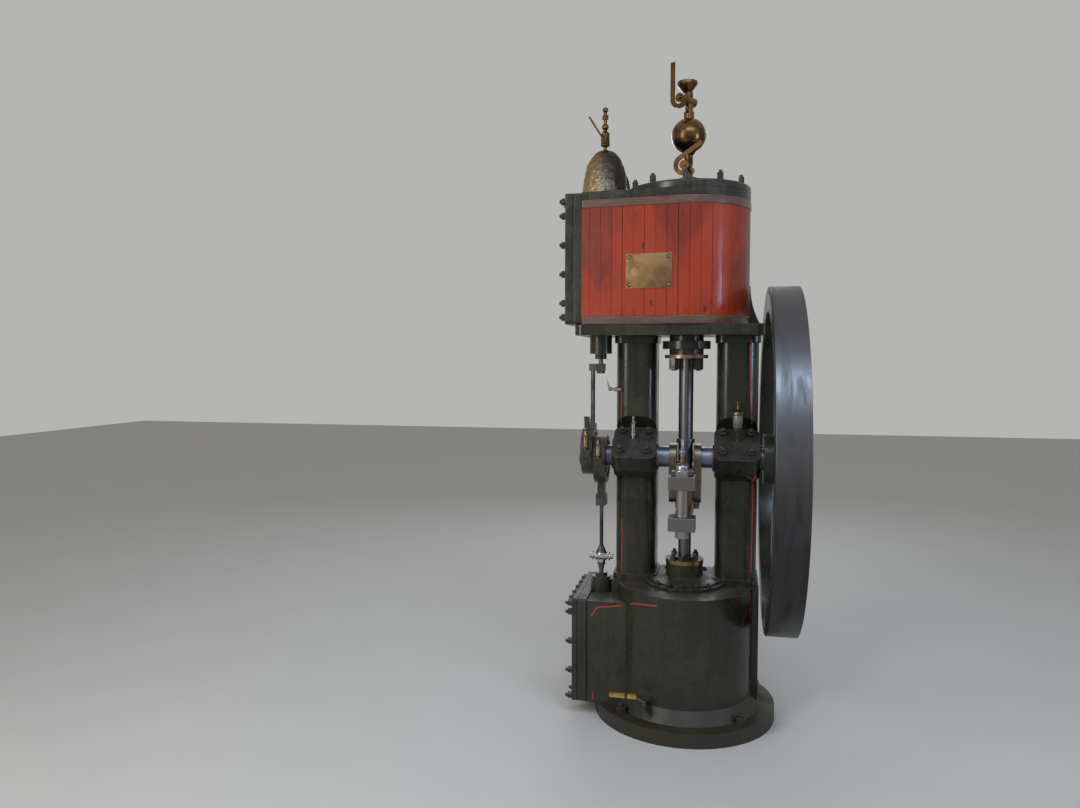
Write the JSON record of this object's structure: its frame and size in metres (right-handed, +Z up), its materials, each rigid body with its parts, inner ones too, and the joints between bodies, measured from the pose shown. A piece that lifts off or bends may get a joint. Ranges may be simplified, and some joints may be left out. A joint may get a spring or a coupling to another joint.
{
  "type": "vertical steam pumping engine",
  "caption": "Vertical steam engine with a lagged cylinder over a slotted crosshead, crankshaft and side flywheel, driving a pump in its base.",
  "frame": {"origin": "on the floor under the common axis of cylinder, piston rod and pump", "axes": "+X along the crankshaft towards the flywheel, -Y towards the front, +Z up"},
  "size_m": [1.011, 1.5, 2.869],
  "materials": {
    "green_paint": "dark bottle-green gloss paint, oily",
    "bright_steel": "machined bright and oiled",
    "flywheel_iron": "machined bright tread, dark painted inside",
    "bearing_bronze": "dull bronze",
    "aged_brass": "polished brass, tarnished",
    "red_boards": "red-orange varnished boards",
    "dark_boards": "dark varnished band",
    "foil_wrap": "crumpled foil over lagging",
    "yellow_sleeve": "yellow sleeve"
  },
  "bodies": {
    "frame": {"pump_base": "green_paint", "pump_valve_chest": "green_paint", "pump_chest_cover": "green_paint", "pump_cover": "green_paint", "pump_gland": "bearing_bronze", "pump_branches": "green_paint", "left_standard": "green_paint", "right_standard": "green_paint", "bearing_caps": "green_paint", "bearing_brasses": "bearing_bronze", "entablature": "green_paint", "steam_cylinder": "green_paint", "cylinder_cover": "green_paint", "piston_gland": "bearing_bronze", "lagging": "red_boards", "lagging_bands": "dark_boards", "steam_chest": "green_paint", "steam_chest_cover": "green_paint", "inlet_valve": "green_paint", "inlet_lagging": "foil_wrap", "exhaust_branch": "green_paint", "steam_spindle_gland": "green_paint", "pump_spindle_gland": "bearing_bronze", "eccentrics": "green_paint", "eccentric_rods": "bright_steel", "left_oiler": "aged_brass", "right_oiler": "aged_brass", "lubricator_globe": "aged_brass", "lower_cock": "aged_brass", "upper_cock": "aged_brass", "inlet_cock": "aged_brass", "drain_valve": "aged_brass"},
    "crank": {"crankshaft": "bright_steel", "flywheel": "flywheel_iron"},
    "block": {"slide_block": "bearing_bronze"},
    "plug": {"oilway_plug": "bright_steel"},
    "crosshead": {"crosshead_beams": "bright_steel", "crosshead_columns": "bright_steel", "crosshead_oiler": "aged_brass", "piston_rod": "bright_steel", "pump_rod": "bright_steel"},
    "lower_lever": {"lower_cock_lever": "aged_brass"},
    "upper_lever": {"upper_cock_lever": "aged_brass"},
    "inlet_lever": {"inlet_cock_lever": "aged_brass"},
    "drain_handle": {"drain_lever": "yellow_sleeve"}
  },
  "joints": [
    {"name": "crank_turn", "type": "hinge", "parent": "frame", "child": "crank", "pos_m": [0, 0, 1.15], "axis": [1, 0, 0], "continuous": true},
    {"name": "block_on_pin", "type": "hinge", "parent": "crank", "child": "block", "pos_m": [0, 0, 0.99], "axis": [1, 0, 0], "continuous": true},
    {"name": "plug_in_web", "type": "hinge", "parent": "crank", "child": "plug", "pos_m": [0, 0, 1.07], "axis": [1, 0, 0], "continuous": true},
    {"name": "crosshead_guide", "type": "hinge", "parent": "plug", "child": "crosshead", "pos_m": [0, 0, 0.99], "axis": [1, 0, 0], "continuous": true},
    {"name": "lower_lever_turn", "type": "hinge", "parent": "frame", "child": "lower_lever", "pos_m": [-0.01459, -0.08272, 2.422], "axis": [-0.1736, -0.9848, 0], "range_deg": [0, 90]},
    {"name": "upper_lever_turn", "type": "hinge", "parent": "frame", "child": "upper_lever", "pos_m": [-0.035, -0.06062, 2.713], "axis": [-0.5, -0.866, 0], "range_deg": [0, 90]},
    {"name": "inlet_lever_turn", "type": "hinge", "parent": "frame", "child": "inlet_lever", "pos_m": [-0.374, 0.012, 2.567], "axis": [0, -1, 0], "range_deg": [0, 90]},
    {"name": "drain_lever_turn", "type": "hinge", "parent": "frame", "child": "drain_handle", "pos_m": [-0.15, -0.30381, 0.139], "axis": [0, 0, 1], "range_deg": [0, 90]}
  ],
  "couplings": [
    {"joint": "block_on_pin", "follows": "crank_turn", "ratio": -1},
    {"joint": "plug_in_web", "follows": "crank_turn", "ratio": -2},
    {"joint": "crosshead_guide", "follows": "crank_turn", "ratio": 1}
  ]
}
